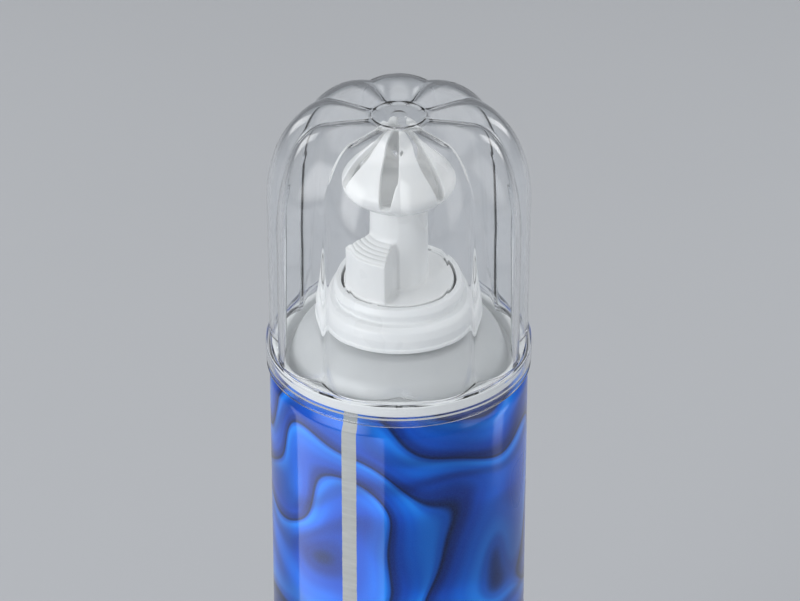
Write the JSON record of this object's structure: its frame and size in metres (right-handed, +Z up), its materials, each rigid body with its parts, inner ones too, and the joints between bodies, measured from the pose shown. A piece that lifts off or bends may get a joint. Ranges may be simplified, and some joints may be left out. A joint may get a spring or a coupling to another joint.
{
  "type": "pressurised dispensing can with star nozzle",
  "caption": "Tall necked-in steel dispensing can with double seams, clip-over collar, star nozzle whose thumb pad tilts to open a spring valve, and a clear lobed lift-off overcap.",
  "frame": {"origin": "on the can axis, in the plane of the bottom rim the can stands on", "axes": "+Z up along the can axis, -Y the front, the thumb pad pointing to front-left (-X, -Y)"},
  "size_m": [0.0544, 0.0544, 0.2396],
  "materials": {
    "overcap": "clear moulded plastic, glossy",
    "nozzle": "white moulded plastic, soft sheen",
    "collar": "white moulded plastic, soft sheen",
    "living_hinge": "white moulded plastic",
    "tamper_bridges": "white moulded plastic",
    "valve_stem": "natural white acetal",
    "stem_gasket": "black rubber",
    "cup_gasket": "red-brown rubber",
    "valve_housing": "natural polymer",
    "valve_spring": "stainless spring wire",
    "mounting_cup": "bright lacquered tinplate",
    "top_dome": "satin pale lacquer over tinplate",
    "can_body": "printed and varnished tinplate, glossy blue",
    "base_end": "bright lacquered tinplate",
    "top_seam_compound": "lining compound",
    "base_seam_compound": "lining compound"
  },
  "bodies": {
    "can": {"can_body": "can_body", "top_dome": "top_dome", "base_end": "base_end", "top_seam_compound": "top_seam_compound", "base_seam_compound": "base_seam_compound", "mounting_cup": "mounting_cup", "cup_gasket": "cup_gasket", "stem_gasket": "stem_gasket", "valve_housing": "valve_housing", "valve_spring": "valve_spring", "collar": "collar", "living_hinge": "living_hinge", "tamper_bridges": "tamper_bridges"},
    "overcap": {"overcap": "overcap"},
    "nozzle": {"nozzle": "nozzle"},
    "valve_stem": {"valve_stem": "valve_stem"}
  },
  "joints": [
    {"name": "overcap_lift", "type": "slide", "parent": "can", "child": "overcap", "axis": [0, 0, 1], "range_m": [0, 0.06]},
    {"name": "nozzle_tilt", "type": "hinge", "parent": "can", "child": "nozzle", "pos_m": [0.00833, 0.00878, 0.2007], "axis": [0.7254, -0.6884, 0], "range_deg": [0, 6]},
    {"name": "stem_press", "type": "slide", "parent": "can", "child": "valve_stem", "axis": [0, 0, -1], "range_m": [0, 0.0013], "deforming": ["valve_spring"]}
  ],
  "couplings": [
    {"joint": "stem_press", "follows": "nozzle_tilt", "m_per_rad": 0.0121}
  ]
}
